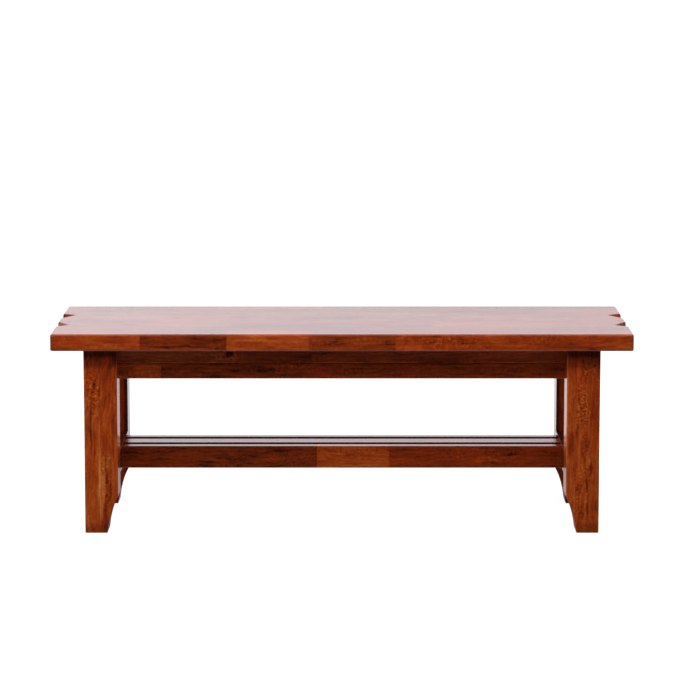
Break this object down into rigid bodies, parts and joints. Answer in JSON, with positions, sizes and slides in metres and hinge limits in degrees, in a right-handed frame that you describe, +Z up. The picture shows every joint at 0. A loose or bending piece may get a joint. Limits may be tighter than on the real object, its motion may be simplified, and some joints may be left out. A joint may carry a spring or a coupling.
{
  "type": "backless bench",
  "caption": "Backless hardwood bench with a plank seat notched at both ends, square legs with hollowed feet, aprons and a low slatted shelf.",
  "frame": {"origin": "on the floor under the middle of the bench's footprint", "axes": "+X along the bench to its right end seen from the front, +Y from front to back, +Z up"},
  "size_m": [1.304, 0.432, 0.458],
  "materials": {
    "seat_wood": "reddish brown stain on solid hardwood staves under gloss lacquer",
    "leg_wood": "reddish brown stain on laminated hardwood under gloss lacquer",
    "apron_wood": "dark reddish brown stain under gloss lacquer",
    "shelf_wood": "reddish brown stain on finger-jointed staves under gloss lacquer",
    "inner_wood": "plain hardwood with a thin wipe of stain",
    "dowel_wood": "bare hardwood dowel",
    "zinc_steel": "zinc plated steel"
  },
  "bodies": {
    "root": {"apron_dowels": "dowel_wood", "batten_dowels": "dowel_wood", "centre_batten": "inner_wood", "corner_block_screws": "zinc_steel", "front_apron": "apron_wood", "front_left_block": "inner_wood", "front_left_leg": "leg_wood", "front_right_block": "inner_wood", "front_right_leg": "leg_wood", "front_shelf_rail": "shelf_wood", "left_apron": "apron_wood", "left_side_rail": "shelf_wood", "leg_bolt_nuts": "zinc_steel", "leg_bolt_washers": "zinc_steel", "leg_bolts": "zinc_steel", "middle_shelf_slat": "shelf_wood", "rear_apron": "apron_wood", "rear_left_block": "inner_wood", "rear_left_leg": "leg_wood", "rear_right_block": "inner_wood", "rear_right_leg": "leg_wood", "rear_shelf_rail": "shelf_wood", "right_apron": "apron_wood", "right_side_rail": "shelf_wood", "seat_board_1": "seat_wood", "seat_board_2": "seat_wood", "seat_board_3": "seat_wood", "seat_board_4": "seat_wood", "seat_board_5": "seat_wood", "seat_board_6": "seat_wood", "seat_board_7": "seat_wood", "seat_board_8": "seat_wood", "seat_screws": "zinc_steel", "shelf_dowels": "dowel_wood", "side_rail_dowels": "dowel_wood"}
  },
  "joints": []
}
